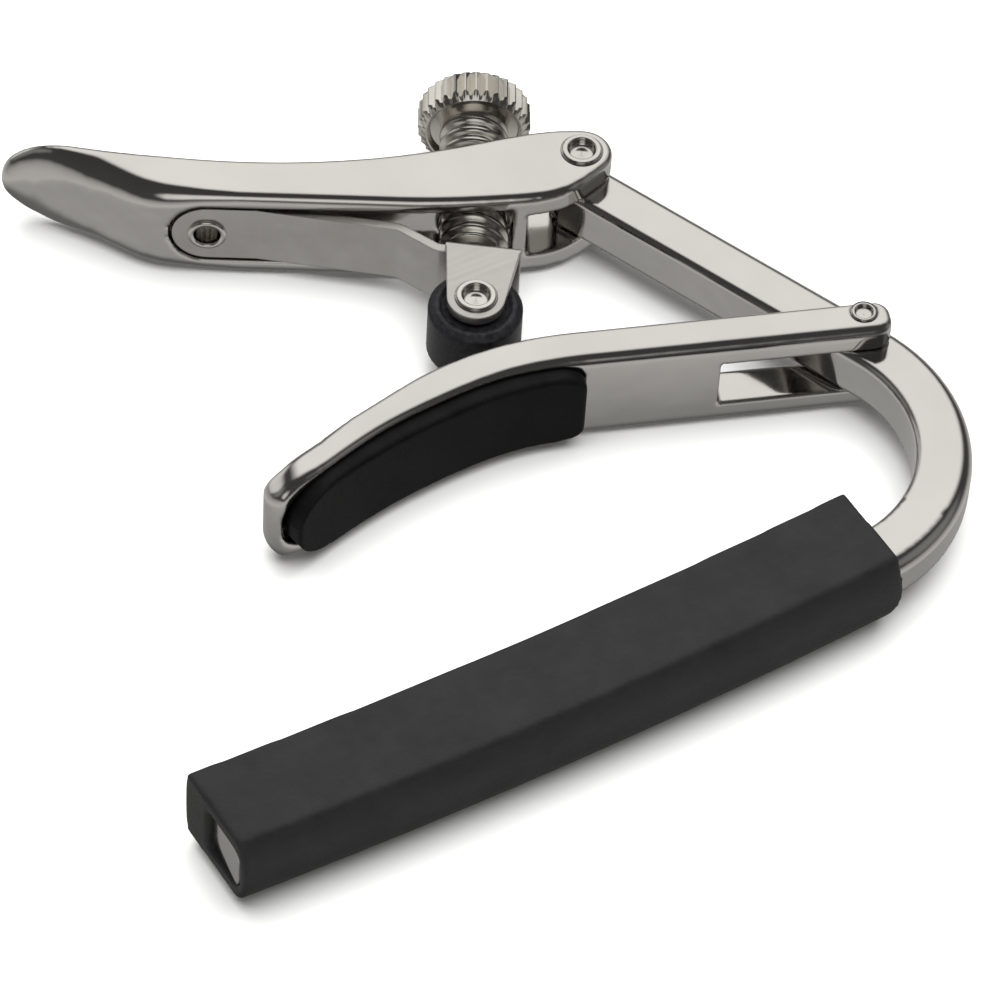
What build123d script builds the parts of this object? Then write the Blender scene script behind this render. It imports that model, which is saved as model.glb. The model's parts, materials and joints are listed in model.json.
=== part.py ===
from build123d import *
import os
from math import acos, atan2, cos, degrees, radians, sin, sqrt

# Lever capo for a guitar, lying on its side with its hinge pins upright.
# Millimetres and degrees. The origin is the middle of the sleeve's string face.
# X runs along the bar towards its bend, Y from the string face towards the arm,
# Z along the hinge pins. The lever is drawn open, as when the capo is put on.

# Square bar, bent to a hook: a bowed leg in the sleeve, a round bend, a straight leg
BAR = 4.76
BAR_INNER_ROUND = 0.6
BAR_OUTER_ROUND = 1.25
BOW_RADIUS = 560.0
BEND_RADIUS = 13.5
BEND_X = 29.2
LEG_ANGLE = 113.5
BAR_FREE_END_X = -29.7
EYE_RADIUS = 2.45

# Rubber sleeve: crowned string face, straight sides, domed outer face, ends a little off square
SLEEVE_HALF_LENGTH = 30.2
SLEEVE_END_SLANT = 2.5
SLEEVE_HALF_WIDTH = 3.7
SLEEVE_OVER_BAR = 3.45
STRING_FACE_CROWN = 0.28
SLEEVE_SIDE_DEPTH = 8.15
SLEEVE_DOME_DEPTH = 9.25
SLEEVE_BAR_GAP = 0.02

# Strip that the arm and the lever are cut from
STRIP_HALF_WIDTH = 4.76
STRIP_EDGE_BREAK = 0.3

# Pivots at rest
ARM_PIVOT = Vector(41.5, 15.55)
ARM_TILT = -20.3
LEVER_PIVOT = Vector(29.87, 42.3)
LEVER_TILT = -30.0
RUNNING_GAP = 0.03

# Clamp arm, along -X from its pivot in its own frame
ARM_BACK = 1.17
ARM_INNER = -2.25
ARM_END_X = 2.2
ARM_END_ROUND = 1.4
ARM_STRAIGHT = 24.6
ARM_CURVE_RADIUS = 29.5
ARM_CURVE_ANGLE = 31.0
ARM_NOSE_LENGTH = 12.0
ARM_NOSE_BULGE = 1.4
ARM_INNER_CURVE = [
    (-24.0, -2.25),
    (-31.2, -2.95),
    (-36.4, -4.75),
    (-41.8, -7.3),
    (-50.3, -12.9),
]
ARM_FORK_DEPTH = 12.4
FORK_HALF_WIDTH = 2.5
ARM_NOSE_X = -52.2
ARM_NOSE_PLAN = 3.9
ARM_PIN_RADIUS = 1.0
ARM_PIN_HOLE_RADIUS = 0.78
ARM_PIN_HOLE_DEPTH = 0.6
ARM_PIN_INSET = 0.05

# Neck pad in the arm's hollow
PAD_HALF_WIDTH = 4.0
PAD_RIGHT_X = -23.5
PAD_LEFT_X = -50.4
PAD_RIGHT_CORNER = 2.6
PAD_LEFT_CORNER = 3.8
PAD_HEIGHT = 1.5
PAD_SEAT_DEPTH = 0.6
PAD_GAP = 0.02

# Lever handle, along -X from its pivot in its own frame
LEVER_END_RADIUS = 2.62
LEVER_INNER = -6.6
LEVER_FORK_DEPTH = 4.5
LEVER_TIP_X = -49.5
LEVER_TIP_PLAN = 6.6
LEVER_BACK_CURVE = [
    (-5.6, 1.75),
    (-11.0, 0.15),
    (-22.0, -1.85),
    (-32.5, -2.05),
    (-44.0, -0.75),
    (-49.5, 0.25),
]
LEVER_TIP_CURVE = [(-49.5, -1.35), (-44.6, -2.7), (-39.8, -4.9), (-34.0, -6.6)]
LEVER_HEEL_CURVE = [(-15.2, -6.6), (-10.7, -6.4), (-6.0, -5.9), (-1.2, -4.6), (1.85, -1.85)]
TIP_TANGENT = (1, -0.15)
CHANNEL_HALF_WIDTH = 3.3
CHANNEL_RIGHT_X = -5.7
CHANNEL_DEPTH_AT_RIVET = 1.1
CHANNEL_DEPTH_AT_SCREW = 2.6

# Lever pin, with a rolled end above and a low head below
LEVER_PIN_RADIUS = 1.3
PIN_HEAD_RADIUS = 1.65
PIN_HEAD_HEIGHT = 0.26
PIN_MOUTH_RADIUS = 1.22
PIN_BORE_DEPTH = 0.9
PIN_BORE_RADIUS = 1.0
PIN_FLARE_DEPTH = 0.4

# Spring strap with its folded yoke, in the lever's frame
STRAP_THICKNESS = 0.8
STRAP_HALF_WIDTH = 3.0
RIVET_X = -31.7
STRAP_FLUSH_Y = LEVER_INNER + 0.1
YOKE_HALF_WIDTH = 3.8
STRAP_BENDS = [(-27.5, LEVER_INNER + 0.1), (-15.6, -8.15)]
STRAP_BEND_RADIUS = 1.3
YOKE_TILT = -6.0
YOKE_HEIGHT = 5.35
YOKE_JOGGLE = 4.0
YOKE_FOLD_ROUND = 0.64
ROLLER_X = -8.9
ROLLER_Y = -16.1
EAR_TOP_WIDTH = 6.4
EAR_RADIUS = 2.45

# Strap rivet, a rolled eyelet
RIVET_SHANK_RADIUS = 1.4
RIVET_BORE_RADIUS = 1.2
RIVET_HEAD_RADIUS = 1.65
RIVET_HEAD_HEIGHT = 0.36
RIVET_HEAD_GAP = 0.16
RIVET_LENGTH = 2.6
RIVET_RIM_ROUND = 0.22
RIVET_END_WALL = 1.0

# Roller and its pin
ROLLER_RADIUS = 4.0
ROLLER_HALF_LENGTH = 2.8
ROLLER_EDGE_ROUND = 0.5
ROLLER_PIN_RADIUS = 1.4

# Adjusting screw, knob and bearing tip, square to the lever's inner face
SCREW_X = -9.05
SCREW_RADIUS = 3.0
SCREW_HOLE_RADIUS = 3.05
SCREW_TIP_RADIUS = 2.0
SCREW_TIP_HEIGHT = 1.2
SCREW_TIP_DOME_RADIUS = 3.0
SCREW_END_CHAMFER = 0.4
SCREW_TIP_GAP = 0.08
KNOB_UNDERSIDE_Y = 6.0
KNOB_THICKNESS = 3.3
KNOB_RADIUS = 4.85
KNOB_TOOTH_DEPTH = 0.6
KNOB_TEETH = 32
KNOB_RECESS_RADIUS = 3.9
KNOB_RECESS_DEPTH = 0.8

ARM_AT = Location((ARM_PIVOT.X, ARM_PIVOT.Y, 0), (0, 0, ARM_TILT))
LEVER_AT = Location((LEVER_PIVOT.X, LEVER_PIVOT.Y, 0), (0, 0, LEVER_TILT))


def upright(sketch, low, high):
    """Raise a sketch drawn in XY from z = low to z = high."""
    return extrude(Pos(0, 0, low) * sketch, high - low)


def plan_prism(sketch, low, high):
    """Run a sketch drawn in X and Z from y = low to y = high."""
    plane = Plane(origin=(0, low, 0), x_dir=(1, 0, 0), z_dir=(0, 1, 0))
    return extrude(plane * sketch, high - low)


def rod_z(radius, low, high):
    return Pos(0, 0, low) * Cylinder(radius, high - low, align=(Align.CENTER, Align.CENTER, Align.MIN))


def rod_y(radius, low, high):
    base = Plane(origin=(0, low, 0), x_dir=(1, 0, 0), z_dir=(0, 1, 0))
    return extrude(base * Circle(radius), high - low)


def direction(angle):
    return Vector(cos(radians(angle)), sin(radians(angle)))


BOW_CENTRE = Vector(0, BOW_RADIUS - SLEEVE_OVER_BAR - BAR / 2)
BEND_CENTRE = Vector(BEND_X, BOW_CENTRE.Y - sqrt((BOW_RADIUS - BEND_RADIUS) ** 2 - BEND_X ** 2))
BOW_END_ANGLE = degrees(atan2(BEND_CENTRE.Y - BOW_CENTRE.Y, BEND_X))
BOW_START_ANGLE = -90 - degrees(acos(sqrt(1 - (BAR_FREE_END_X / BOW_RADIUS) ** 2)))


def bar_section(centre, radius, angle, grow=0.0):
    """Bar section at an angle round a bend centre; its +X side faces that centre."""
    square = Rectangle(BAR + 2 * grow, BAR + 2 * grow)
    section = fillet(square.vertices().sort_by(Axis.X)[2:], BAR_INNER_ROUND + grow)
    section = fillet(section.vertices().sort_by(Axis.X)[:2], BAR_OUTER_ROUND + grow)
    out = direction(angle)
    return Plane(origin=centre + out * radius, x_dir=-out, z_dir=direction(angle + 90)) * section


def bowed(section, turn):
    return revolve(section, Axis((BOW_CENTRE.X, BOW_CENTRE.Y, 0), (0, 0, 1)), turn)


def frame_bar():
    """Bent bar with an eye for the lever pin and a hole for the arm pin."""
    bend_turn = LEG_ANGLE - 90 - BOW_END_ANGLE
    leg = direction(LEG_ANGLE)
    leg_start = BEND_CENTRE + direction(LEG_ANGLE - 90) * BEND_RADIUS
    leg_length = (LEVER_PIVOT - leg_start).dot(leg)
    bar = bowed(bar_section(BOW_CENTRE, BOW_RADIUS, BOW_START_ANGLE), BOW_END_ANGLE - BOW_START_ANGLE)
    bend = bar_section(BEND_CENTRE, BEND_RADIUS, BOW_END_ANGLE)
    bar += revolve(bend, Axis((BEND_CENTRE.X, BEND_CENTRE.Y, 0), (0, 0, 1)), bend_turn)
    bar += extrude(bar_section(BEND_CENTRE, BEND_RADIUS, LEG_ANGLE - 90), leg_length)
    eye = rod_z(EYE_RADIUS, -BAR / 2, BAR / 2)
    bar += Pos(LEVER_PIVOT) * fillet(eye.edges(), BAR_INNER_ROUND)
    bar -= Pos(LEVER_PIVOT) * rod_z(LEVER_PIN_RADIUS, -BAR, BAR)
    bar -= Pos(ARM_PIVOT) * rod_z(ARM_PIN_RADIUS + RUNNING_GAP, -BAR, BAR)
    return bar


def sleeve_section(angle):
    """Sleeve outline, drawn with +X from the outer face to the string face."""
    crown = SLEEVE_OVER_BAR + BAR / 2
    half = SLEEVE_HALF_WIDTH
    side = crown - SLEEVE_SIDE_DEPTH
    edge = crown - STRING_FACE_CROWN
    outline = make_face([
        Line((side, -half), (edge, -half)),
        ThreePointArc((edge, -half), (crown, 0), (edge, half)),
        Line((edge, half), (side, half)),
        ThreePointArc((side, half), (crown - SLEEVE_DOME_DEPTH, 0), (side, -half)),
    ])
    out = direction(angle)
    plane = Plane(origin=BOW_CENTRE + out * BOW_RADIUS, x_dir=-out, z_dir=direction(angle + 90))
    return plane * outline


def bar_sleeve():
    """Rubber sleeve over the bowed leg, deeper than the leg's free end."""
    reach = degrees(2 * SLEEVE_HALF_LENGTH / BOW_RADIUS)
    hole = bar_section(BOW_CENTRE, BOW_RADIUS, -90 - reach, SLEEVE_BAR_GAP)
    sleeve = bowed(sleeve_section(-90 - reach), 2 * reach) - bowed(hole, 2 * reach)
    saw_cuts = Box(2 * SLEEVE_HALF_LENGTH, 4 * SLEEVE_DOME_DEPTH, 4 * SLEEVE_HALF_WIDTH)
    return sleeve & Rot(0, 0, SLEEVE_END_SLANT) * saw_cuts


def side_edges(solid):
    """Long edges of the two flat sides that face along Z."""
    flats = solid.faces().filter_by(Axis.Z).group_by(Axis.Z)
    rims = (flats[0] + flats[-1]).edges()
    return rims.filter_by(lambda edge: edge.bounding_box().size.X > STRIP_EDGE_BREAK)


def round_nose_plan(tip_x, depth, back_x):
    """Plan outline, in X and Z, of a strip with a half-ellipse for its tip."""
    ellipse = Pos(tip_x + depth, 0) * Ellipse(depth, STRIP_HALF_WIDTH)
    length = back_x - tip_x - depth
    strip = Rectangle(length, 2 * STRIP_HALF_WIDTH, align=(Align.MIN, Align.CENTER))
    return ellipse + Pos(tip_x + depth, 0) * strip


def fork_slot(left_x, right_x, reach):
    """Cutter for a fork's slot, open to the right."""
    size = (right_x - left_x, 2 * reach, 2 * FORK_HALF_WIDTH)
    return Pos(left_x, 0, 0) * Box(*size, align=(Align.MIN, Align.CENTER, Align.CENTER))


def inner_curve(offset):
    """Points along the arm's curved inner side, moved square to it by an offset."""
    points = [Vector(*point) for point in ARM_INNER_CURVE]
    moved = []
    for index, point in enumerate(points):
        before = points[max(index - 1, 0)]
        after = points[min(index + 1, len(points) - 1)]
        along = (before - after).normalized()
        moved.append(point + Vector(-along.Y, along.X) * offset)
    return moved


def clamp_arm():
    """Curved arm with a fork for the bar and a hollow for the neck pad."""
    turn = radians(ARM_CURVE_ANGLE)
    curve_centre = Vector(-ARM_STRAIGHT, ARM_BACK - ARM_CURVE_RADIUS)
    half_turn = Vector(-sin(turn / 2), cos(turn / 2))
    full_turn = Vector(-sin(turn), cos(turn))
    curve_end = curve_centre + full_turn * ARM_CURVE_RADIUS
    nose_back = curve_end + Vector(-cos(turn), -sin(turn)) * ARM_NOSE_LENGTH
    inner = inner_curve(0)
    nose_tip = (nose_back + inner[-1]) / 2 - Vector(ARM_NOSE_BULGE, 0)
    outline = [
        Line((ARM_END_X, ARM_BACK), (-ARM_STRAIGHT, ARM_BACK)),
        ThreePointArc((-ARM_STRAIGHT, ARM_BACK), curve_centre + half_turn * ARM_CURVE_RADIUS, curve_end),
        Line(curve_end, nose_back),
        ThreePointArc(nose_back, nose_tip, inner[-1]),
        Spline(*reversed(inner), tangents=[(cos(turn), sin(turn)), (1, 0)], tangent_scalars=[1, 1]),
        Line(inner[0], (ARM_END_X, ARM_INNER)),
        Line((ARM_END_X, ARM_INNER), (ARM_END_X, ARM_BACK)),
    ]
    profile = make_face(outline)
    corners = profile.vertices().sort_by(Axis.X)
    profile = fillet(corners[-2:], ARM_END_ROUND)
    arm = upright(profile, -STRIP_HALF_WIDTH, STRIP_HALF_WIDTH)
    reach = 2 * STRIP_HALF_WIDTH
    arm &= plan_prism(round_nose_plan(ARM_NOSE_X, ARM_NOSE_PLAN, reach), -2 * reach, reach)
    arm = chamfer(side_edges(arm), STRIP_EDGE_BREAK)
    arm -= fork_slot(-ARM_FORK_DEPTH, reach, reach)
    arm -= rod_z(ARM_PIN_RADIUS + RUNNING_GAP, -reach, reach)
    arm -= pad_body(PAD_GAP)
    return ARM_AT * arm


def pad_body(grow=0.0):
    """Neck pad in the arm's frame, grown a little to cut its seat."""
    top = inner_curve(PAD_SEAT_DEPTH + grow)
    bottom = inner_curve(-PAD_HEIGHT)
    outline = [
        Spline(*top),
        Line(top[-1], bottom[-1]),
        Spline(*reversed(bottom)),
        Line(bottom[0], top[0]),
    ]
    width = PAD_HALF_WIDTH + grow
    body = upright(make_face(outline), -width, width)
    length = PAD_RIGHT_X - PAD_LEFT_X + 2 * grow
    plan = Rectangle(length, 2 * width, align=(Align.MIN, Align.CENTER))
    plan = fillet(plan.vertices().sort_by(Axis.X)[2:], PAD_RIGHT_CORNER + grow)
    plan = fillet(plan.vertices().sort_by(Axis.X)[:2], PAD_LEFT_CORNER + grow)
    return body & plan_prism(Pos(PAD_LEFT_X - grow, 0) * plan, 2 * ARM_INNER_CURVE[-1][1], 0)


def neck_pad():
    return ARM_AT * pad_body()


def arm_pin():
    """Plain pin with a drilled end."""
    half = STRIP_HALF_WIDTH - ARM_PIN_INSET
    pin = rod_z(ARM_PIN_RADIUS, -half, half)
    pin -= rod_z(ARM_PIN_HOLE_RADIUS, half - ARM_PIN_HOLE_DEPTH, half)
    return Pos(ARM_PIVOT) * pin


def channel():
    """Cutter for the strap's channel, with a floor that falls towards the screw."""
    deep = LEVER_INNER + CHANNEL_DEPTH_AT_SCREW
    shallow = LEVER_INNER + CHANNEL_DEPTH_AT_RIVET
    left = RIVET_X - CHANNEL_HALF_WIDTH
    below = LEVER_INNER - CHANNEL_DEPTH_AT_SCREW
    floor = [(CHANNEL_RIGHT_X, deep), (RIVET_X, shallow), (left, shallow)]
    side_view = make_face(Polyline((left, below), (CHANNEL_RIGHT_X, below), *floor, close=True).edges())
    wedge = upright(side_view, -CHANNEL_HALF_WIDTH, CHANNEL_HALF_WIDTH)
    round_end = Pos(RIVET_X, 0) * Circle(CHANNEL_HALF_WIDTH)
    size = (CHANNEL_RIGHT_X - RIVET_X, 2 * CHANNEL_HALF_WIDTH)
    straight = Pos(RIVET_X, 0) * Rectangle(*size, align=(Align.MIN, Align.CENTER))
    return wedge & plan_prism(round_end + straight, 2 * LEVER_INNER, 0)


def lever_handle():
    """Lever with a fork for the bar's eye, a channel for the strap and a spoon tip."""
    back = [Vector(*point) for point in LEVER_BACK_CURVE]
    tip = [Vector(*point) for point in LEVER_TIP_CURVE]
    heel = [Vector(*point) for point in LEVER_HEEL_CURVE]
    top = Vector(0, LEVER_END_RADIUS)
    outline = [
        Spline(top, *back, tangents=[(-1, 0), (-1, -TIP_TANGENT[1])]),
        Line(back[-1], tip[0]),
        Spline(*tip, tangents=[TIP_TANGENT, (1, 0)]),
        Line(tip[-1], heel[0]),
        Spline(*heel, tangents=[(1, 0), (1, 1)]),
        ThreePointArc(heel[-1], (LEVER_END_RADIUS, 0), top),
    ]
    profile = make_face(outline)
    lever = upright(profile, -STRIP_HALF_WIDTH, STRIP_HALF_WIDTH)
    reach = 2 * STRIP_HALF_WIDTH
    lever &= plan_prism(round_nose_plan(LEVER_TIP_X, LEVER_TIP_PLAN, reach), -2 * reach, reach)
    lever = chamfer(side_edges(lever), STRIP_EDGE_BREAK)
    lever -= fork_slot(-LEVER_FORK_DEPTH, reach, reach)
    lever -= channel()
    lever -= rod_z(LEVER_PIN_RADIUS + RUNNING_GAP, -reach, reach)
    lever -= Pos(SCREW_X, 0, 0) * rod_y(SCREW_HOLE_RADIUS, -reach, reach)
    floor = LEVER_INNER + CHANNEL_DEPTH_AT_RIVET
    lever -= Pos(RIVET_X, 0, 0) * rod_y(RIVET_SHANK_RADIUS, LEVER_INNER, floor + RIVET_LENGTH)
    return LEVER_AT * lever


def headed_pin(radius, half_grip):
    """Pin with a low head below and a rolled, bored end above a grip of given half length."""
    top = half_grip + RUNNING_GAP + PIN_HEAD_HEIGHT
    head = rod_z(PIN_HEAD_RADIUS, top - PIN_HEAD_HEIGHT, top)
    head = fillet(head.edges().sort_by(Axis.Z)[-1], PIN_HEAD_HEIGHT / 2)
    pin = rod_z(radius, -top, top) + head + Rot(180, 0, 0) * head
    pin -= rod_z(PIN_BORE_RADIUS, top - PIN_BORE_DEPTH, top)
    below = (Align.CENTER, Align.CENTER, Align.MAX)
    return pin - Pos(0, 0, top) * Cone(PIN_BORE_RADIUS, PIN_MOUTH_RADIUS, PIN_FLARE_DEPTH, align=below)


def lever_pin():
    return Pos(LEVER_PIVOT) * headed_pin(LEVER_PIN_RADIUS, STRIP_HALF_WIDTH)


def roller_pin():
    return LEVER_AT * Pos(ROLLER_X, ROLLER_Y) * headed_pin(ROLLER_PIN_RADIUS, YOKE_HALF_WIDTH)


def yoke():
    """Folded yoke in its own frame: a base over the roller and an ear at each end."""
    half = EAR_TOP_WIDTH / 2
    inside = YOKE_HALF_WIDTH - STRAP_THICKNESS
    base_size = (EAR_TOP_WIDTH, STRAP_THICKNESS, 2 * YOKE_HALF_WIDTH)
    base = Pos(0, YOKE_HEIGHT, 0) * Box(*base_size, align=(Align.CENTER, Align.MIN, Align.CENTER))
    fold = Line((-half, YOKE_HEIGHT + STRAP_THICKNESS), (half, YOKE_HEIGHT + STRAP_THICKNESS))
    ear = make_hull([CenterArc((0, 0), EAR_RADIUS, 0, 360).edge(), fold.edge()])
    folded = base + upright(ear, inside, YOKE_HALF_WIDTH) + upright(ear, -YOKE_HALF_WIDTH, -inside)
    top_edges = folded.edges().filter_by(Axis.X).group_by(Axis.Y)[-1]
    folded = fillet(top_edges, YOKE_FOLD_ROUND)
    return folded - rod_z(ROLLER_PIN_RADIUS, -2 * YOKE_HALF_WIDTH, 2 * YOKE_HALF_WIDTH)


def spring_strap():
    """Spring strip, flush at its rivet and joggled to the yoke that holds the roller."""
    yoke_at = Location((ROLLER_X, ROLLER_Y, 0), (0, 0, YOKE_TILT))
    joggle_end = yoke_at * Pos(-YOKE_JOGGLE, YOKE_HEIGHT)
    strip_end = yoke_at * Pos(0, YOKE_HEIGHT)
    left = RIVET_X - STRAP_HALF_WIDTH
    route = [(left, STRAP_FLUSH_Y), *STRAP_BENDS, joggle_end.position, strip_end.position]
    outer = FilletPolyline(*route, radius=STRAP_BEND_RADIUS)
    side_view = make_face(offset(outer, STRAP_THICKNESS, side=Side.LEFT, closed=True).edges())
    strip = upright(side_view, -STRAP_HALF_WIDTH, STRAP_HALF_WIDTH)
    round_end = Pos(RIVET_X, 0) * Circle(STRAP_HALF_WIDTH)
    length = strip_end.position.X - RIVET_X
    straight = Pos(RIVET_X, 0) * Rectangle(length, 2 * STRAP_HALF_WIDTH, align=(Align.MIN, Align.CENTER))
    strip &= plan_prism(round_end + straight, 2 * ROLLER_Y, 0)
    strap = strip + yoke_at * yoke()
    strap -= Pos(RIVET_X, 0, 0) * rod_y(RIVET_SHANK_RADIUS + RIVET_HEAD_GAP, 2 * LEVER_INNER, 0)
    return LEVER_AT * strap


def strap_rivet():
    """Eyelet rivet pressed into the lever, with its rolled rim over the strap."""
    shoulder = STRAP_FLUSH_Y - RIVET_HEAD_GAP
    mouth = shoulder - RIVET_HEAD_HEIGHT
    end = LEVER_INNER + CHANNEL_DEPTH_AT_RIVET + RIVET_LENGTH
    rim = rod_y(RIVET_HEAD_RADIUS, mouth, shoulder)
    rim = fillet(rim.edges().group_by(Axis.Y)[0], RIVET_RIM_ROUND)
    rivet = rim + rod_y(RIVET_SHANK_RADIUS, mouth, end)
    rivet -= rod_y(RIVET_BORE_RADIUS, mouth, end - RIVET_END_WALL)
    return LEVER_AT * Pos(RIVET_X, 0, 0) * rivet


def roller():
    body = rod_z(ROLLER_RADIUS, -ROLLER_HALF_LENGTH, ROLLER_HALF_LENGTH)
    body = fillet(body.edges(), ROLLER_EDGE_ROUND)
    bore = rod_z(ROLLER_PIN_RADIUS + RUNNING_GAP, -ROLLER_RADIUS, ROLLER_RADIUS)
    return LEVER_AT * Pos(ROLLER_X, ROLLER_Y) * (body - bore)


def screw_seat():
    """Height of the yoke's inner face on the screw's axis, in the lever's frame."""
    tilt = radians(YOKE_TILT)
    height = YOKE_HEIGHT + STRAP_THICKNESS
    along = (SCREW_X - ROLLER_X + height * sin(tilt)) / cos(tilt)
    return ROLLER_Y + along * sin(tilt) + height * cos(tilt)


def screw_tip():
    """Domed bearing tip between the screw and the yoke."""
    low = screw_seat() + SCREW_TIP_GAP
    tip = rod_y(SCREW_TIP_RADIUS, low, low + SCREW_TIP_HEIGHT)
    tip &= Pos(0, low + SCREW_TIP_DOME_RADIUS, 0) * Sphere(SCREW_TIP_DOME_RADIUS)
    return LEVER_AT * Pos(SCREW_X, 0, 0) * tip


def adjusting_screw():
    """Threaded shank from the bearing tip up into the knob."""
    low = screw_seat() + SCREW_TIP_GAP + SCREW_TIP_HEIGHT
    high = KNOB_UNDERSIDE_Y + KNOB_THICKNESS / 2
    shank = rod_y(SCREW_RADIUS, low, high)
    shank = chamfer(shank.edges().group_by(Axis.Y)[0], SCREW_END_CHAMFER)
    return LEVER_AT * Pos(SCREW_X, 0, 0) * shank


def screw_knob():
    """Round knob with a toothed rim and a hollow underside."""
    rim = []
    for index in range(KNOB_TEETH):
        for step, radius in ((0, KNOB_RADIUS), (0.5, KNOB_RADIUS - KNOB_TOOTH_DEPTH)):
            angle = 360 * (index + step) / KNOB_TEETH
            rim.append(direction(angle) * radius)
    outline = make_face(Polyline(*rim, close=True).edges())
    top = KNOB_UNDERSIDE_Y + KNOB_THICKNESS
    knob = plan_prism(outline, KNOB_UNDERSIDE_Y, top)
    crown = rod_y(KNOB_RADIUS, KNOB_UNDERSIDE_Y, top)
    knob &= fillet(crown.edges().group_by(Axis.Y)[-1], KNOB_TOOTH_DEPTH)
    knob -= rod_y(KNOB_RECESS_RADIUS, KNOB_UNDERSIDE_Y, KNOB_UNDERSIDE_Y + KNOB_RECESS_DEPTH)
    knob -= rod_y(SCREW_RADIUS, KNOB_UNDERSIDE_Y, KNOB_UNDERSIDE_Y + KNOB_THICKNESS / 2)
    return LEVER_AT * Pos(SCREW_X, 0, 0) * knob


NODES = [
    frame_bar,
    bar_sleeve,
    clamp_arm,
    neck_pad,
    arm_pin,
    lever_handle,
    lever_pin,
    spring_strap,
    strap_rivet,
    roller,
    roller_pin,
    adjusting_screw,
    screw_knob,
    screw_tip,
]

os.makedirs("parts", exist_ok=True)
for node in NODES:
    export_step(node(), f"parts/{node.__name__}.step")
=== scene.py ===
import json
from math import cos, pi, radians, sin

import bmesh
import bpy
import numpy as np
from mathutils import Matrix, Vector


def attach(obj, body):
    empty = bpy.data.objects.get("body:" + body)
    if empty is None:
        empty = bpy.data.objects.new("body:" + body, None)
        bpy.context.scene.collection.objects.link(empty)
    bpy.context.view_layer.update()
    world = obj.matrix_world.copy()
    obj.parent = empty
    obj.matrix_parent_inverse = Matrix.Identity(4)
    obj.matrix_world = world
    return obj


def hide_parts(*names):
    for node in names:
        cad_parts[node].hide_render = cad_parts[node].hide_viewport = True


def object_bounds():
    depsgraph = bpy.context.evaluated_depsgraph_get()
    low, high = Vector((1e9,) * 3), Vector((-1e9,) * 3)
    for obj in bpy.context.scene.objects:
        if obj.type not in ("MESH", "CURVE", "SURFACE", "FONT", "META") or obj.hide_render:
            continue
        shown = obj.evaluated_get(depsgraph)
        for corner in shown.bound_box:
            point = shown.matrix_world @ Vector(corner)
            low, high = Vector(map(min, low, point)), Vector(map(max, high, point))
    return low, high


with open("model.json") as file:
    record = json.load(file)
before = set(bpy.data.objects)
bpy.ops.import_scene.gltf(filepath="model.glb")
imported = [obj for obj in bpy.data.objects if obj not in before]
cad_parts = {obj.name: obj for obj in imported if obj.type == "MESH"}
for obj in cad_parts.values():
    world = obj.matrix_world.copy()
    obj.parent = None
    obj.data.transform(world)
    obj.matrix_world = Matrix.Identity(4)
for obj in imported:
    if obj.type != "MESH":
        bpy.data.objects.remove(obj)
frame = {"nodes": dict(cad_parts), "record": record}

# Lengths in local frames are in millimetres; pieces are scaled to metres as they are made.
MM = 0.001
CAD_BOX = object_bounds()
NODES = frame["nodes"]
JOINTS = {joint["name"]: joint for joint in frame["record"]["behaviour"]["joints"]}

# ---------------------------------------------------------------- camera

AIM = Vector((6.45, 16.55, 0.0)) * MM
CAMERA_DISTANCE = 447.6 * MM
CAMERA_TURN = 32.68
CAMERA_HEIGHT = 50.5
CAMERA_ROLL = 3.7
LENS = 200.0
CLIP = (0.01, 20.0)


def make_camera():
    """Long-lens camera over the free end of the sleeve, rolled a little."""
    turn, height = radians(CAMERA_TURN), radians(CAMERA_HEIGHT)
    forward = Vector((sin(turn) * cos(height), cos(turn) * cos(height), -sin(height)))
    camera = bpy.data.objects.new("camera", bpy.data.cameras.new("camera"))
    bpy.context.scene.collection.objects.link(camera)
    camera.data.lens = LENS
    camera.data.clip_start, camera.data.clip_end = CLIP
    look = forward.to_track_quat("-Z", "Y").to_matrix().to_4x4()
    roll = Matrix.Rotation(radians(CAMERA_ROLL), 4, "Z")
    camera.matrix_world = Matrix.Translation(AIM - forward * CAMERA_DISTANCE) @ look @ roll
    bpy.context.scene.camera = camera


# ---------------------------------------------------------------- node graphs


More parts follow.
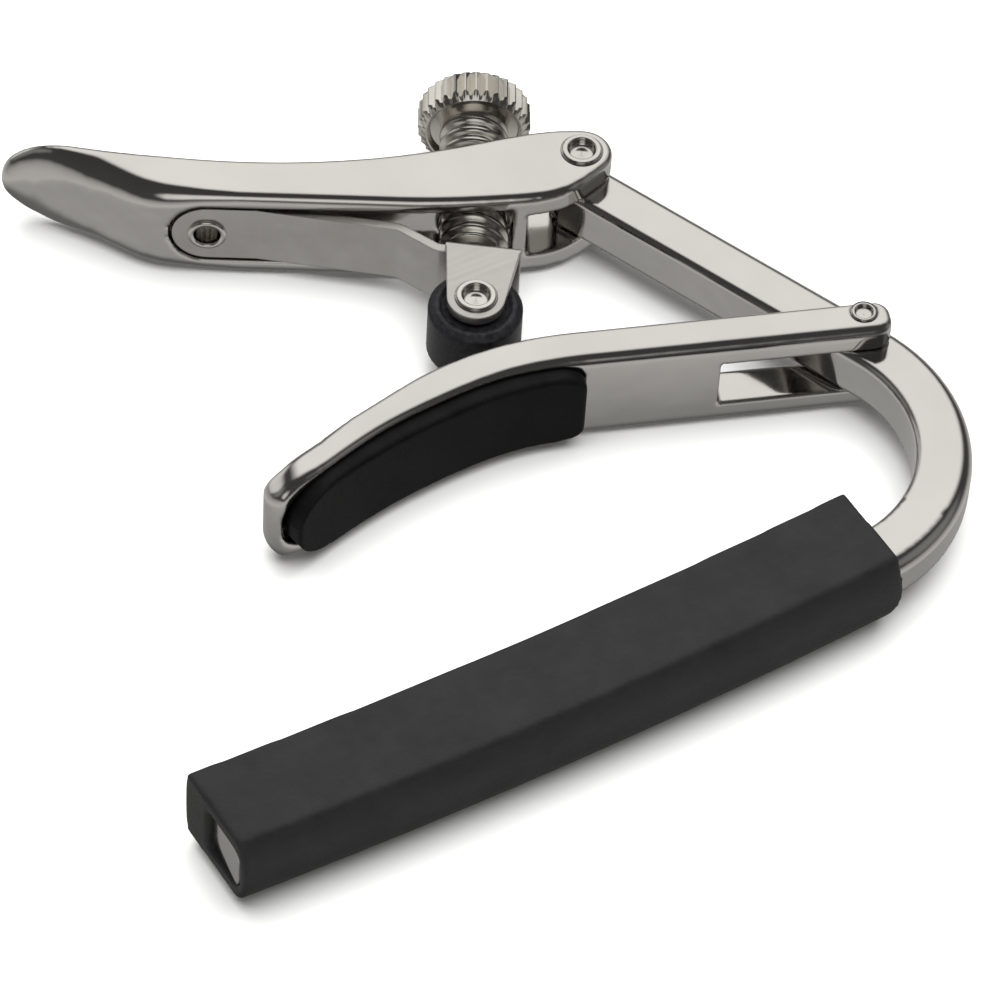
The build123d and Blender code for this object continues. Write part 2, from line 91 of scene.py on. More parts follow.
class Graph:
    """Short hand for building one material's node tree."""

    def __init__(self, name):
        self.material = bpy.data.materials.new(name)
        self.material.use_nodes = True
        self.nodes = self.material.node_tree.nodes
        self.links = self.material.node_tree.links
        self.shader = self.nodes["Principled BSDF"]
        self.place = self.nodes.new("ShaderNodeTexCoord").outputs["Object"]

    def node(self, kind, inputs=None, **settings):
        made = self.nodes.new("ShaderNode" + kind)
        for name, value in settings.items():
            setattr(made, name, value)
        for name, value in (inputs or {}).items():
            self.feed(made.inputs[name], value)
        return made

    def feed(self, socket, value):
        if isinstance(value, bpy.types.NodeSocket):
            self.links.new(value, socket)
        else:
            socket.default_value = value

    def stretched(self, scale, turn=0.0):
        """Object position, turned about Z and scaled unevenly, for lines along one direction."""
        inputs = {"Vector": self.place, "Rotation": (0, 0, radians(turn)), "Scale": scale}
        return self.node("Mapping", inputs).outputs["Vector"]

    def noise(self, scale, detail=3.0, roughness=0.55, vector=None):
        inputs = {"Vector": vector or self.place, "Scale": scale, "Detail": detail, "Roughness": roughness}
        return self.node("TexNoise", inputs).outputs["Fac"]

    def lines(self, scale, turn=0.0):
        """Fine uneven lines along the direction of the smallest scale."""
        return self.noise(1.0, 6.0, 0.7, self.stretched(scale, turn))

    def cells(self, scale):
        return self.node("TexVoronoi", {"Vector": self.place, "Scale": scale}).outputs["Distance"]

    def span(self, value, low, high, to_low, to_high):
        inputs = {"Value": value, "From Min": low, "From Max": high, "To Min": to_low, "To Max": to_high}
        return self.node("MapRange", inputs).outputs["Result"]

    def ramp(self, value, *stops):
        made = self.node("ValToRGB", {"Fac": value})
        elements = made.color_ramp.elements
        while len(elements) < len(stops):
            elements.new(0.5)
        for element, (position, colour) in zip(elements, stops):
            element.position = position
            element.color = (*colour, 1.0)
        return made.outputs["Color"]

    def maths(self, operation, first, second=0.0):
        made = self.node("Math", operation=operation)
        self.feed(made.inputs[0], first)
        self.feed(made.inputs[1], second)
        return made.outputs["Value"]

    def rounded_edges(self, radius):
        return self.node("Bevel", {"Radius": radius}, samples=4).outputs["Normal"]

    def bump(self, height, strength, distance, normal=None):
        inputs = {"Height": height, "Strength": strength, "Distance": distance}
        if normal:
            inputs["Normal"] = normal
        return self.node("Bump", inputs).outputs["Normal"]

    def set(self, **values):
        for name, value in values.items():
            self.feed(self.shader.inputs[name.replace("_", " ")], value)
        return self.material


# ---------------------------------------------------------------- materials


def plated_metal(name, bright, dull, low_gloss, high_gloss, edge_radius):
    """Polished nickel plate: soft polishing waves, hairline scratches, uneven gloss."""
    graph = Graph(name)
    cloud = graph.noise(90.0, 4.0)
    colour = graph.ramp(cloud, (0.3, dull), (0.65, bright))
    scratches = graph.lines((90.0, 4200.0, 900.0), 24.0)
    crossing = graph.lines((3600.0, 120.0, 700.0), 57.0)
    hairs = graph.maths("MULTIPLY", scratches, crossing)
    smears = graph.noise(320.0, 5.0, 0.6)
    wear = graph.maths("ADD", graph.maths("MULTIPLY", hairs, 0.6), smears)
    gloss = graph.span(wear, 0.4, 1.0, low_gloss, high_gloss)
    waves = graph.bump(graph.noise(160.0, 2.0), 0.12, 0.4 * MM, graph.rounded_edges(edge_radius))
    normal = graph.bump(hairs, 0.05, 0.02 * MM, waves)
    return graph.set(Base_Color=colour, Metallic=1.0, Roughness=gloss, Normal=normal)


def satin_spring(name):
    """Satin spring strip, brushed along its length."""
    graph = Graph(name)
    brushed = graph.lines((160.0, 5200.0, 3000.0), 30.0)
    cloud = graph.noise(220.0, 4.0)
    colour = graph.ramp(cloud, (0.25, (0.52, 0.505, 0.48)), (0.7, (0.66, 0.645, 0.62)))
    gloss = graph.span(graph.maths("ADD", brushed, cloud), 0.7, 1.3, 0.27, 0.42)
    normal = graph.bump(brushed, 0.16, 0.03 * MM, graph.rounded_edges(0.15 * MM))
    return graph.set(Base_Color=colour, Metallic=1.0, Roughness=gloss, Normal=normal)


def rubber(name, dark, light, low_gloss, high_gloss, speck_scale, shine):
    """Black rubber with fine specks, faint mould marks and dusty patches."""
    graph = Graph(name)
    dust = graph.noise(260.0, 6.0, 0.7)
    grain = graph.noise(speck_scale, 3.0, 0.6)
    specks = graph.cells(speck_scale * 0.45)
    shade = graph.maths("ADD", graph.maths("MULTIPLY", dust, 0.6), graph.maths("MULTIPLY", grain, 0.4))
    colour = graph.ramp(shade, (0.35, dark), (0.68, light))
    gloss = graph.span(grain, 0.3, 0.7, low_gloss, high_gloss)
    coarse = graph.bump(specks, 0.18, 0.06 * MM, graph.rounded_edges(0.1 * MM))
    normal = graph.bump(grain, 0.35, 0.04 * MM, coarse)
    return graph.set(Base_Color=colour, Roughness=gloss, Normal=normal, Specular_IOR_Level=shine)


def turned_plastic(name, dark, light):
    """Turned black plastic with fine lathe rings round Z."""
    graph = Graph(name)
    rings = graph.noise(1.0, 4.0, 0.6, graph.stretched((300.0, 300.0, 9000.0)))
    grain = graph.noise(2200.0, 3.0)
    colour = graph.ramp(grain, (0.35, dark), (0.65, light))
    gloss = graph.span(rings, 0.3, 0.7, 0.28, 0.46)
    normal = graph.bump(rings, 0.2, 0.03 * MM, graph.bump(grain, 0.08, 0.02 * MM))
    return graph.set(Base_Color=colour, Roughness=gloss, Normal=normal, Specular_IOR_Level=0.25)


NICKEL = plated_metal("nickel", (0.66, 0.645, 0.62), (0.61, 0.595, 0.57), 0.07, 0.15, 0.3 * MM)
PIN_NICKEL = plated_metal("pin_nickel", (0.68, 0.66, 0.63), (0.6, 0.58, 0.55), 0.09, 0.2, 0.12 * MM)
SCREW_NICKEL = plated_metal(
    "screw_nickel", (0.66, 0.635, 0.59), (0.52, 0.495, 0.455), 0.12, 0.26, 0.08 * MM
)
SPRING = satin_spring("spring_strip")
SLEEVE_RUBBER = rubber(
    "sleeve_rubber", (0.009, 0.009, 0.0095), (0.017, 0.017, 0.018), 0.42, 0.6, 5200.0, 0.38
)
PAD_RUBBER = rubber("pad_rubber", (0.002, 0.002, 0.0022), (0.006, 0.006, 0.0065), 0.4, 0.56, 6500.0, 0.14)
ROLLER_PLASTIC = turned_plastic("roller_plastic", (0.007, 0.007, 0.008), (0.016, 0.016, 0.018))
TIP_PLASTIC = turned_plastic("tip_plastic", (0.04, 0.04, 0.04), (0.07, 0.07, 0.07))
# Near-black material used as painted shade: a dark ring that stands in for the shadowed gap round the pin
# ends.
GAP_SHADE = turned_plastic("gap_shade_line", (0.006, 0.006, 0.006), (0.014, 0.013, 0.012))

SHOWN_NODES = {"frame_bar": NICKEL, "spring_strap": SPRING, "screw_tip": TIP_PLASTIC}


def give(piece, material):
    piece.data.materials.clear()
    piece.data.materials.append(material)


# ---------------------------------------------------------------- shape tools

SMOOTH_FACTOR = 0.5
WEIGHT_LEVELS = 20
STATION_STEP = 0.3
CORNER_LIMIT = 0.97
BACK_DEPTH_LIMIT = 0.35


def joint_place(joint_name):
    return Matrix.Translation(Vector(JOINTS[joint_name]["pos_m"]))


def tilted_at(joint_name, tilt):
    """Frame at a joint, turned about Z: a strip lies along its -X."""
    return joint_place(joint_name) @ Matrix.Rotation(radians(tilt), 4, "Z")


def upright_at(joint_name):
    """Frame at a joint whose +Y points up along the hinge pins."""
    return joint_place(joint_name) @ Matrix.Rotation(radians(90.0), 4, "X")


LEVER_TILT = -30.0
ARM_FRAME = tilted_at("arm_follow", -20.3)
LEVER_FRAME = tilted_at("lever_swing", LEVER_TILT)
SCREW_FRAME = tilted_at("screw_spin", LEVER_TILT)
ROW_FRAME = Matrix.Identity(4)


def new_piece(name, mesh, place, material, body, node_name):
    """Set a mesh in millimetres in a frame, as a piece that rides on a body in place of a CAD node."""
    mesh.transform(place @ Matrix.Scale(MM, 4))
    mesh.polygons.foreach_set("use_smooth", [True] * len(mesh.polygons))
    piece = bpy.data.objects.new(name, mesh)
    bpy.context.scene.collection.objects.link(piece)
    give(piece, material)
    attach(piece, body)
    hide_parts(node_name)
    return piece


def modified(mesh, add_modifier):
    """The mesh after the modifier that a function adds."""
    worker = bpy.data.objects.new("worker", mesh)
    bpy.context.scene.collection.objects.link(worker)
    add_modifier(worker)
    shown = worker.evaluated_get(bpy.context.evaluated_depsgraph_get())
    result = bpy.data.meshes.new_from_object(shown)
    bpy.data.objects.remove(worker)
    return result


def dense_copy(node_name, place, voxel):
    """A CAD node's shape as an even, closed mesh in millimetres, in a local frame."""
    mesh = NODES[node_name].data.copy()
    mesh.transform(Matrix.Scale(1 / MM, 4) @ place.inverted())

    def remesh(worker):
        step = worker.modifiers.new("remesh", "REMESH")
        step.mode = "VOXEL"
        step.voxel_size = voxel

    return modified(mesh, remesh)


def smoothed(mesh, rounds, weight_of=None):
    """Even out a dense mesh, everywhere or by a weight from 0 to 1 at each point."""

    def smooth(worker):
        step = worker.modifiers.new("smooth", "SMOOTH")
        step.factor = SMOOTH_FACTOR
        step.iterations = rounds
        if weight_of is not None:
            group = worker.vertex_groups.new(name="weight")
            levels = np.round(np.clip(weight_of(read_points(mesh)), 0, 1) * WEIGHT_LEVELS).astype(int)
            for level in range(1, WEIGHT_LEVELS + 1):
                group.add(np.nonzero(levels == level)[0].tolist(), level / WEIGHT_LEVELS, "REPLACE")
            step.vertex_group = group.name

    return modified(mesh, smooth)


def read_points(mesh):
    points = np.empty(3 * len(mesh.vertices), dtype=np.float32)
    mesh.vertices.foreach_get("co", points)
    return points.reshape(-1, 3).astype(float)


def write_points(mesh, points):
    mesh.vertices.foreach_set("co", points.astype(np.float32).ravel())
    mesh.update()


def ramped(*stops):
    """Function of x that runs straight between (x, value) stops."""
    places, values = zip(*stops)
    return lambda x: np.interp(x, places, values)


def beyond(x, length):
    """Weight that rises from 0 at x to 1 a length further along -X."""
    return lambda points: np.clip((x - points[:, 0]) / length, 0, 1)


def section_bounds(points):
    """For stations along X: the lowest and highest Y and the half width in Z of the solid there."""
    station = np.floor(points[:, 0] / STATION_STEP).astype(int)
    first = station.min()
    count = station.max() - first + 1
    low, high, half = np.full(count, np.inf), np.full(count, -np.inf), np.zeros(count)
    np.minimum.at(low, station - first, points[:, 1])
    np.maximum.at(high, station - first, points[:, 1])
    np.maximum.at(half, station - first, np.abs(points[:, 2]))
    centres = (np.arange(count) + first + 0.5) * STATION_STEP
    kept = np.isfinite(low)
    return centres[kept], low[kept], high[kept], half[kept]


def buff_strip(mesh, inner_reach, back_reach, back_depth, crown):
    """Round a strip's long corners as quarter ellipses that vary along X, and crown its inner face."""
    points = read_points(mesh)
    centres, low, high, half = section_bounds(points)
    x, y, z = points.T
    low, high, half = (np.interp(x, centres, values) for values in (low, high, half))
    depth = high - low
    back_y = np.minimum(back_depth(x), BACK_DEPTH_LIMIT * depth)
    inner_y = np.minimum(inner_reach(x), CORNER_LIMIT * depth - back_y)
    inner_side = y < (low + inner_y + high - back_y) / 2
    radius_y = np.where(inner_side, inner_y, back_y)
    radius_z = np.minimum(np.where(inner_side, inner_reach(x), back_reach(x)), CORNER_LIMIT * half)
    centre_y = np.where(inner_side, low + inner_y, high - back_y)
    over_y = np.where(inner_side, np.minimum(y - centre_y, 0), np.maximum(y - centre_y, 0))
    over_z = np.maximum(np.abs(z) - (half - radius_z), 0)
    reach = np.hypot(over_y / radius_y, over_z / radius_z)
    outside = (over_y != 0) & (over_z != 0) & (reach > 1)
    shrink = np.where(outside, 1 / np.maximum(reach, 1e-9), 1)
    new_y = y - over_y * (1 - shrink)
    new_z = z - np.sign(z) * over_z * (1 - shrink)
    near_inner = np.clip((low + high - 2 * y) / depth, 0, 1)
    new_y -= crown * (1 - (z / half) ** 2) * near_inner
    write_points(mesh, np.stack([x, new_y, new_z], axis=1))


def ringed_mesh(name, heights, steps, radius_at, looped):
    """Mesh of rings round +Y with radii from radius_at(row, angle), closed in a loop or by two caps."""
    mesh = bpy.data.meshes.new(name)
    build = bmesh.new()
    rings = []
    for row, height in enumerate(heights):
        ring = []
        for index in range(steps):
            angle = 2 * pi * index / steps
            radius = radius_at(row, angle)
            ring.append(build.verts.new((radius * cos(angle), height, radius * sin(angle))))
        rings.append(ring)
    after_each = rings[1:] + rings[:1] if looped else rings[1:]
    for ring, after in zip(rings, after_each):
        for index in range(steps):
            build.faces.new((ring[index], ring[index - 1], after[index - 1], after[index]))
    if not looped:
        build.faces.new(rings[0])
        build.faces.new(rings[-1])
    bmesh.ops.recalc_face_normals(build, faces=build.faces)
    build.to_mesh(mesh)
    build.free()
    return mesh


def lathe(profile, steps, limit=None):
    """Closed turned mesh round +Y from (radius, height) points; limit(angle) caps the radius."""
    radii, heights = zip(*profile)

    def radius_at(row, angle):
        return min(radii[row], limit(angle)) if limit else radii[row]

    return ringed_mesh("turned", heights, steps, radius_at, True)


def keep_creases(piece, angle):
    """Mark edges sharper than an angle, so that smooth shading stops at them."""
    build = bmesh.new()
    build.from_mesh(piece.data)
    for edge in build.edges:
        if len(edge.link_faces) == 2:
            edge.smooth = edge.calc_face_angle(0.0) < radians(angle)
    build.to_mesh(piece.data)
    build.free()


def node_span(node_name, place):
    """Lowest and highest Y of a CAD node, in millimetres in a local frame."""
    heights = [(place.inverted() @ vertex.co).y / MM for vertex in NODES[node_name].data.vertices]
    return min(heights), max(heights)


# ---------------------------------------------------------------- polished strips

STRIP_VOXEL = 0.16
STRIP_ROUNDS = 5
EDGE_REACH = 0.8
EDGE_DEPTH = 0.55
LEVER_INNER_REACH = ramped(
    (-49.5, 4.4), (-46.0, 3.7), (-43.8, 2.9), (-41.0, 2.3),
    (-37.7, 2.0), (-34.8, 1.6), (-32.0, 1.1), (-29.0, EDGE_REACH),
)
LEVER_BACK_REACH = ramped((-49.0, 1.4), (-44.0, 0.8), (-38.0, EDGE_DEPTH))
LEVER_BACK_DEPTH = ramped((-45.0, 0.6), (-38.0, EDGE_DEPTH))
LEVER_CROWN = 0.0
SPOON_ROUNDS = 24
SPOON_WEIGHT = beyond(-35.5, 3)
ARM_INNER_REACH = ramped((-50.0, 1.0), (-46.0, 0.5), (-40.0, 0.4), (-24.0, EDGE_REACH))
ARM_BACK_REACH = ramped((-52.0, 4.5), (-50.0, 3.4), (-47.0, 1.5), (-44.0, 0.6))
ARM_BACK_DEPTH = ramped((-51.0, 2.4), (-47.0, 1.2), (-44.0, EDGE_DEPTH))
ARM_CROWN = 0.15
NOSE_GROWTH = 0.5
NOSE_START = beyond(-47.0, 4)
NOSE_ROUNDS = 14
NOSE_WEIGHT = beyond(-47.5, 2)


def polished_strip(node_name, place, inner_reach, back_reach, back_depth, crown):
    """A strip part with softly buffed edges that grow rounder towards its tip."""
    mesh = dense_copy(node_name, place, STRIP_VOXEL)
    buff_strip(mesh, inner_reach, back_reach, back_depth, crown)
    return smoothed(mesh, STRIP_ROUNDS)


def make_lever():
    """Lever with a spoon tip."""
    buffed = (LEVER_INNER_REACH, LEVER_BACK_REACH, LEVER_BACK_DEPTH, LEVER_CROWN)
    mesh = smoothed(polished_strip("lever_handle", LEVER_FRAME, *buffed), SPOON_ROUNDS, SPOON_WEIGHT)
    new_piece("polished_lever", mesh, LEVER_FRAME, NICKEL, "lever", "lever_handle")


def make_arm():
    """Arm with a full, round nose."""
    buffed = (ARM_INNER_REACH, ARM_BACK_REACH, ARM_BACK_DEPTH, ARM_CROWN)
    mesh = polished_strip("clamp_arm", ARM_FRAME, *buffed)
    points = read_points(mesh)
    points[:, 0] -= NOSE_GROWTH * NOSE_START(points)
    write_points(mesh, points)
    mesh = smoothed(mesh, NOSE_ROUNDS, NOSE_WEIGHT)
    new_piece("polished_arm", mesh, ARM_FRAME, NICKEL, "arm", "clamp_arm")


# ---------------------------------------------------------------- rubber

SLEEVE_VOXEL = 0.22
SLEEVE_ROUNDS = 7
PAD_VOXEL = 0.16
PAD_ROUNDS = 44
PAD_END_TURN = 31.0
PAD_END_LENGTH = 4.6
PAD_END_NARROWEST = 0.2


def make_sleeve():
    """Cut length of rubber section with softened edges."""
    mesh = smoothed(dense_copy("bar_sleeve", ROW_FRAME, SLEEVE_VOXEL), SLEEVE_ROUNDS)
    new_piece("rubber_sleeve", mesh, ROW_FRAME, SLEEVE_RUBBER, "frame", "bar_sleeve")


def round_pad_end(mesh):
    """Draw the pad's outline in towards its outer end, as half an ellipse."""
    points = read_points(mesh)
    turn = radians(PAD_END_TURN)
    along = -points[:, 0] * cos(turn) - points[:, 1] * sin(turn)
    start = along.max() - PAD_END_LENGTH
    run = np.clip((along - start) / PAD_END_LENGTH, 0, 1)
    half = np.abs(points[:, 2]).max()
    allowed = half * np.maximum(np.sqrt(1 - run ** 2), PAD_END_NARROWEST)
    points[:, 2] = np.clip(points[:, 2], -allowed, allowed)
    write_points(mesh, points)


def make_pad():
    """Moulded pad with full, soft edges and a round end, seated in the arm."""
    mesh = dense_copy("neck_pad", ARM_FRAME, PAD_VOXEL)
    round_pad_end(mesh)
    mesh = smoothed(mesh, PAD_ROUNDS)
    pad = new_piece("moulded_pad", mesh, ARM_FRAME, PAD_RUBBER, "arm", "neck_pad")


# ---------------------------------------------------------------- screw and knob

THREAD_PITCH = 1.25
THREAD_DEPTH = 0.52
THREAD_SHARPNESS = 1.6
SCREW_RADIUS = 2.98
SCREW_STEPS = 72
ROWS_PER_PITCH = 16
SCREW_END_RADIUS = 2.1
SCREW_END_SLOPE = 1.4
COLLAR_RADIUS = 2.95
COLLAR_LENGTH = 0.2
KNOB_RIM = 4.9
KNOB_ROOT = 4.42
KNOB_TEETH = 32
TOOTH_STEPS = 14
TOOTH_STEEPNESS = 1.15
KNOB_CREASE = 28.0


def thread_radius(height, angle):
    """Rounded thread: the radius falls to the root once a pitch, along a helix."""
    phase = (height / THREAD_PITCH - angle / (2 * pi)) % 1.0
    root = 0.5 - 0.5 * cos(2 * pi * phase)
    return SCREW_RADIUS - THREAD_DEPTH * root ** THREAD_SHARPNESS


def make_screw():
    """Screw with a cut helical thread, a bevelled end and a plain collar under the knob."""
    low, high = node_span("adjusting_screw", SCREW_FRAME)
    collar = node_span("screw_knob", SCREW_FRAME)[0] - COLLAR_LENGTH
    count = int((high - low) / THREAD_PITCH * ROWS_PER_PITCH)
    heights = [low + (high - low) * row / count for row in range(count + 1)]

    def radius_at(row, angle):
        if heights[row] > collar:
            return COLLAR_RADIUS
        bevel = SCREW_END_RADIUS + (heights[row] - low) * SCREW_END_SLOPE
        return min(thread_radius(heights[row], angle), bevel)

    mesh = ringed_mesh("threaded_screw", heights, SCREW_STEPS, radius_at, False)
    new_piece("threaded_screw", mesh, SCREW_FRAME, SCREW_NICKEL, "screw", "adjusting_screw")


def knob_tooth(angle):
    """Radius of the toothed rim: straight flanks between flat crests and sharp roots."""
    phase = (angle * KNOB_TEETH / (2 * pi)) % 1.0
    rise = min(abs(phase - 0.5) * 2 * TOOTH_STEEPNESS, 1.0)
    return KNOB_ROOT + (KNOB_RIM - KNOB_ROOT) * rise


def make_knob():
    """Knob with a straight-toothed rim, bevelled so that the teeth run out in points."""
    low, high = node_span("screw_knob", SCREW_FRAME)
    hub = [(2.6, low + 0.85), (3.5, low + 0.85), (3.82, low + 0.75)]
    underside = [(3.95, low + 0.2), (4.05, low + 0.03)]
    bevel = [(4.2, low), (4.3, low + 0.08), (4.6, low + 0.36), (KNOB_RIM, low + 0.68), (KNOB_RIM, low + 0.7)]
    crown = [(KNOB_RIM, high - 0.6), (KNOB_RIM, high - 0.5), (4.62, high - 0.26), (4.35, high - 0.08)]
    top = [(4.1, high), (3.7, high), (3.55, high - 0.05), (3.45, high - 0.14), (2.6, high - 0.16)]
    middle = [(1.2, high - 0.17), (0.02, high - 0.17)]
    inside = [(0.02, low + 1.4), (2.6, low + 1.4)]
    profile = hub + underside + bevel + crown + top + middle + inside
    mesh = lathe(profile, KNOB_TEETH * TOOTH_STEPS, knob_tooth)
    knob = new_piece("toothed_knob", mesh, SCREW_FRAME, SCREW_NICKEL, "screw", "screw_knob")
    keep_creases(knob, KNOB_CREASE)


# ---------------------------------------------------------------- roller and pins

ROLLER_HALF = 2.8
ROLLER_RIM = 4.0
ROLLER_STEPS = 96
ROLLER_CREASE = 40.0
PIN_STEPS = 64
PIN_CREASE = 50.0
RIVET_X = -31.7
RIVET_FRAME = LEVER_FRAME @ Matrix.Translation((RIVET_X * MM, 0, 0))
RIVET_SINK = 0.2
ARM_PIN_RISE = 0.1
# Radii beyond which pin faces get the dark painted shade of the gap round their ends; the eyelet's radius is
# past its rim, so it gets none.
ROLLED_GAP_SHADE_LINE = 1.67
PLAIN_GAP_SHADE_LINE = 1.01
NO_GAP_SHADE_LINE = 9.0


def make_roller():
    """Turned roller with a recessed hub and a narrow flat rim on each end."""
    half, rim = ROLLER_HALF, ROLLER_RIM
    hub = [(1.43, half - 0.28), (2.75, half - 0.28), (2.95, half - 0.2), (3.05, half - 0.04), (3.15, half)]
    edge = [(3.4, half), (3.5, half - 0.03), (3.93, half - 0.4), (rim, half - 0.5), (rim, half - 1.2)]
    end = hub + edge
    mesh = lathe(end + [(radius, -height) for radius, height in reversed(end)], ROLLER_STEPS)
    roller = new_piece("turned_roller", mesh, upright_at("roller_spin"), ROLLER_PLASTIC, "roller", "roller")
    keep_creases(roller, ROLLER_CREASE)


def rolled_end(low, high):
    """Headed pin: a low head below, and a rolled rim round a shallow dish above."""
    head = [(0.02, low), (1.4, low), (1.58, low + 0.05), (1.65, low + 0.14), (1.65, low + 0.27)]
    neck = [(1.28, low + 0.3), (1.28, high - 0.3)]
    # Thin skirt at the part's face, given the dark painted shade of the gap round the pin.
    joint = [(1.66, high - 0.28), (1.84, high - 0.28), (1.84, high - 0.26), (1.66, high - 0.24)]
    rim = [(1.665, high - 0.2), (1.66, high - 0.08), (1.62, high - 0.01), (1.56, high), (1.28, high)]
    wall = [(1.21, high - 0.03), (1.17, high - 0.12), (1.13, high - 0.4), (1.08, high - 0.62)]
    dish = [(0.95, high - 0.72), (0.55, high - 0.68), (0.02, high - 0.6)]
    return head + neck + joint + rim + wall + dish


def plain_end(low, high):
    """Plain pin with a small dished hole in its upper end, which stands just proud."""
    top = high + ARM_PIN_RISE
    body = [(0.02, low), (0.95, low), (1.0, low + 0.05), (1.0, high - 0.1)]
    # Thin skirt at the part's face, given the dark painted shade of the gap round the pin.
    joint = [(1.0, high + 0.055), (1.13, high + 0.055), (1.13, high + 0.07), (1.0, high + 0.075)]
    rim = [(0.95, top), (0.82, top), (0.76, top - 0.04), (0.74, top - 0.2)]
    dish = [(0.66, top - 0.36), (0.3, top - 0.42), (0.02, top - 0.4)]
    return body + joint + rim + dish


def eyelet(low, high):
    """Eyelet with a rolled rim at its lower end and a deep, open bore."""
    mouth = low + RIVET_SINK
    inner_lip = [(1.12, mouth + 0.16), (1.18, mouth + 0.05), (1.28, mouth), (1.46, mouth)]
    outer_lip = [(1.58, mouth + 0.04), (1.65, mouth + 0.14), (1.65, mouth + 0.3), (1.6, mouth + 0.36)]
    shank = [(1.38, mouth + 0.38), (1.38, high), (0.02, high)]
    bore = [(0.02, high - 1.0), (1.08, high - 1.0), (1.1, mouth + 0.5)]
    return inner_lip + outer_lip + shank + bore


def turned_pin(name, node_name, body, place, profile_between, gap_shade_line):
    """Turned pin in a node's place; its faces beyond a radius get painted shade: a dark ring that stands in
    for the shadowed gap round its end.
    """
    mesh = lathe(profile_between(*node_span(node_name, place)), PIN_STEPS)
    # Faces past the radius take the second, near-black material: painted shade of the gap round the pin end.
    for polygon in mesh.polygons:
        if (polygon.center.x ** 2 + polygon.center.z ** 2) ** 0.5 > gap_shade_line:
            polygon.material_index = 1
    pin = new_piece(name, mesh, place, PIN_NICKEL, body, node_name)
    pin.data.materials.append(GAP_SHADE)
    keep_creases(pin, PIN_CREASE)


def make_pins():
    lever_axis = upright_at("lever_swing")
    roller_axis = upright_at("roller_spin")
    arm_axis = upright_at("arm_follow")
    turned_pin("rolled_lever_pin", "lever_pin", "frame", lever_axis, rolled_end, ROLLED_GAP_SHADE_LINE)
    turned_pin("rolled_roller_pin", "roller_pin", "strap", roller_axis, rolled_end, ROLLED_GAP_SHADE_LINE)
    turned_pin("dished_arm_pin", "arm_pin", "arm_pin", arm_axis, plain_end, PLAIN_GAP_SHADE_LINE)
    turned_pin("strap_eyelet", "strap_rivet", "lever", RIVET_FRAME, eyelet, NO_GAP_SHADE_LINE)


# ---------------------------------------------------------------- stage and light

FLOOR_HALF = 3.0
FLOOR_DARK = (0.80, 0.80, 0.795)
FLOOR_LIGHT = (0.83, 0.83, 0.825)
FLOOR_ROUGHNESS = 0.9
LAMP_PLACE = Vector((0.1, 0.1, 1.2))
LAMP_SIZE = 1.5
LAMP_POWER = 38.0

# Soft windows round the object, as (angle from the window's middle, brightness) stops
SKY_STRENGTH = 1.08
SKY_TINT = (1.0, 0.99, 0.965)
FAR_WINDOW_HEIGHT = 42.0
FAR_WINDOW = [(180.0, 0.0), (34.0, 0.05), (24.0, 0.75), (18.0, 0.98), (0.0, 1.0)]
NEAR_WINDOW_HEIGHT = 30.0
NEAR_WINDOW = [(180.0, 0.0), (24.0, 0.0), (14.0, 0.75), (0.0, 0.85)]
SIDE_WINDOW_TURN = -20.0
SIDE_WINDOW_HEIGHT = 10.0
SIDE_WINDOW = [(180.0, 0.0), (23.0, 0.0), (15.0, 0.7), (0.0, 0.8)]
FLANK_HEIGHT = 27.0
FLANK_WINDOW = [(180.0, 0.0), (30.0, 0.0), (18.0, 0.2), (0.0, 0.22)]

# Grey table under the object, as (angle from straight up, brightness) stops
TABLE_BELOW = [(180.0, 0.12), (152.0, 0.17), (140.5, 0.34), (130.0, 0.56), (118.0, 0.52), (104.0, 0.4)]
TABLE_EDGE = [(95.0, 0.24), (88.0, 0.06), (0.0, 0.05)]


def make_floor():
    """Pale paper floor, kept out of reflections so that polished metal reflects the grey table instead."""
    low = CAD_BOX[0].z
    mesh = bpy.data.meshes.new("floor")
    corners = [(x * FLOOR_HALF, y * FLOOR_HALF, low) for x, y in ((-1, -1), (1, -1), (1, 1), (-1, 1))]
    mesh.from_pydata(corners, [], [(0, 1, 2, 3)])
    floor = bpy.data.objects.new("floor", mesh)
    bpy.context.scene.collection.objects.link(floor)
    graph = Graph("floor_paper")
    colour = graph.ramp(graph.noise(40.0, 4.0), (0.3, FLOOR_DARK), (0.7, FLOOR_LIGHT))
    give(floor, graph.set(Base_Color=colour, Roughness=FLOOR_ROUGHNESS))
    floor.visible_glossy = False


def make_lamp():
    """Large soft lamp overhead, aimed at the origin."""
    data = bpy.data.lights.new("top_lamp", "AREA")
    data.shape = "RECTANGLE"
    data.size = data.size_y = LAMP_SIZE
    data.energy = LAMP_POWER
    lamp = bpy.data.objects.new("top_lamp", data)
    bpy.context.scene.collection.objects.link(lamp)
    lamp.location = LAMP_PLACE
    lamp.visible_glossy = False
    lamp.rotation_euler = (-LAMP_PLACE).to_track_quat("-Z", "Y").to_euler()


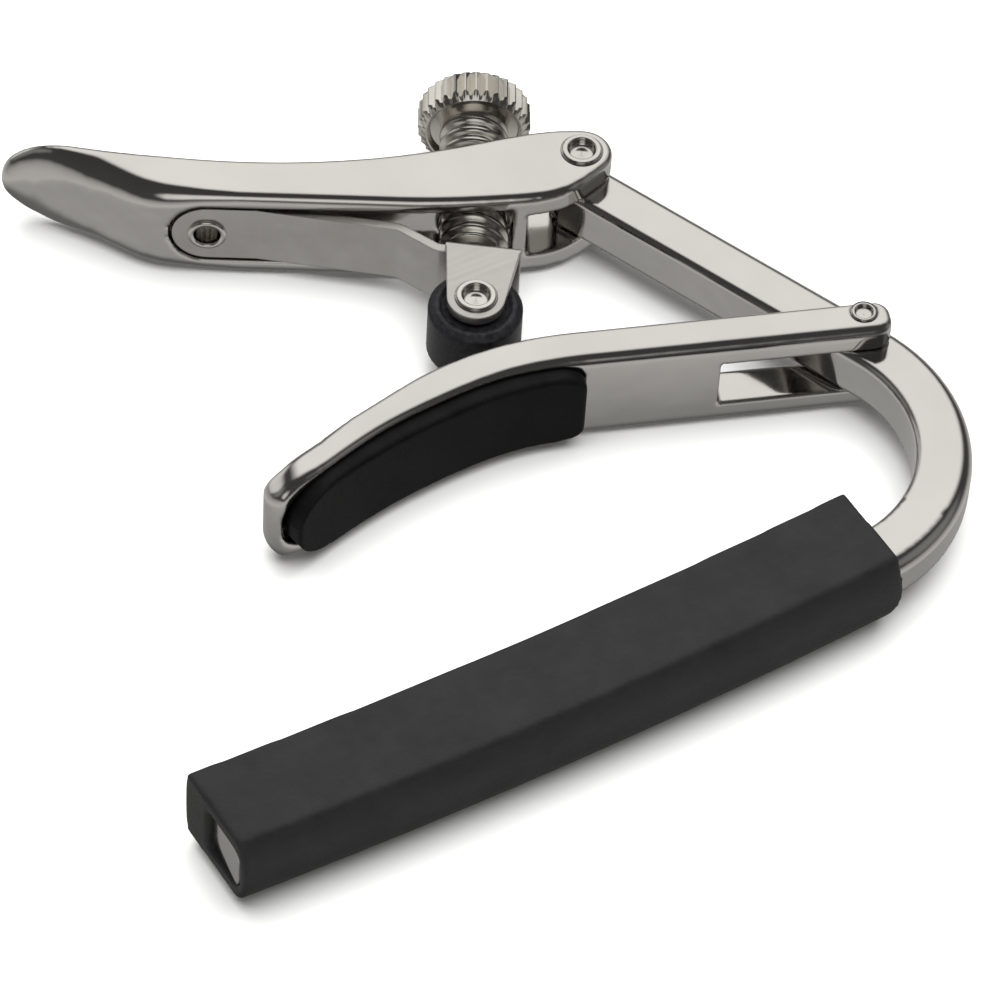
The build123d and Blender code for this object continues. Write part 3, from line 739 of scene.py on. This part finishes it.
def make_world():
    """Dark studio with a soft window on the far side, small ones round it and a grey table below."""
    world = bpy.data.worlds.new("studio")
    bpy.context.scene.world = world
    world.use_nodes = True
    nodes, links = world.node_tree.nodes, world.node_tree.links
    place = nodes.new("ShaderNodeTexCoord").outputs["Generated"]

    def glow(azimuth, height, stops):
        """Light that depends on the angle from one direction, given by (angle, brightness) stops."""
        toward = nodes.new("ShaderNodeVectorMath")
        toward.operation = "DOT_PRODUCT"
        links.new(place, toward.inputs[0])
        turn, rise = radians(azimuth), radians(height)
        toward.inputs[1].default_value = (sin(turn) * cos(rise), cos(turn) * cos(rise), sin(rise))
        shifted = nodes.new("ShaderNodeMapRange")
        shifted.inputs["From Min"].default_value = -1.0
        links.new(toward.outputs["Value"], shifted.inputs["Value"])
        ramp = nodes.new("ShaderNodeValToRGB")
        links.new(shifted.outputs["Result"], ramp.inputs["Fac"])
        while len(ramp.color_ramp.elements) < len(stops):
            ramp.color_ramp.elements.new(0.5)
        for element, (angle, level) in zip(ramp.color_ramp.elements, stops):
            element.position = (cos(radians(angle)) + 1) / 2
            element.color = (*(level * tint for tint in SKY_TINT), 1.0)
        return ramp.outputs["Color"]

    def brighter(first, second):
        mix = nodes.new("ShaderNodeMix")
        mix.data_type = "RGBA"
        mix.blend_type = "LIGHTEN"
        mix.inputs["Factor"].default_value = 1.0
        links.new(first, mix.inputs["A"])
        links.new(second, mix.inputs["B"])
        return mix.outputs["Result"]

    light = glow(CAMERA_TURN, FAR_WINDOW_HEIGHT, FAR_WINDOW)
    light = brighter(light, glow(CAMERA_TURN + 180, NEAR_WINDOW_HEIGHT, NEAR_WINDOW))
    light = brighter(light, glow(CAMERA_TURN - 90, FLANK_HEIGHT, FLANK_WINDOW))
    light = brighter(light, glow(CAMERA_TURN + 90, FLANK_HEIGHT, FLANK_WINDOW))
    light = brighter(light, glow(SIDE_WINDOW_TURN, SIDE_WINDOW_HEIGHT, SIDE_WINDOW))
    light = brighter(light, glow(0.0, 90.0, TABLE_BELOW + TABLE_EDGE))
    links.new(light, nodes["Background"].inputs["Color"])
    nodes["Background"].inputs["Strength"].default_value = SKY_STRENGTH


# ---------------------------------------------------------------- scene

make_camera()
for node_name, node_material in SHOWN_NODES.items():
    give(NODES[node_name], node_material)
make_lever()
make_arm()
make_sleeve()
make_pad()
make_screw()
make_knob()
make_roller()
make_pins()
make_floor()
make_world()
make_lamp()
bpy.context.scene.view_settings.view_transform = "Standard"
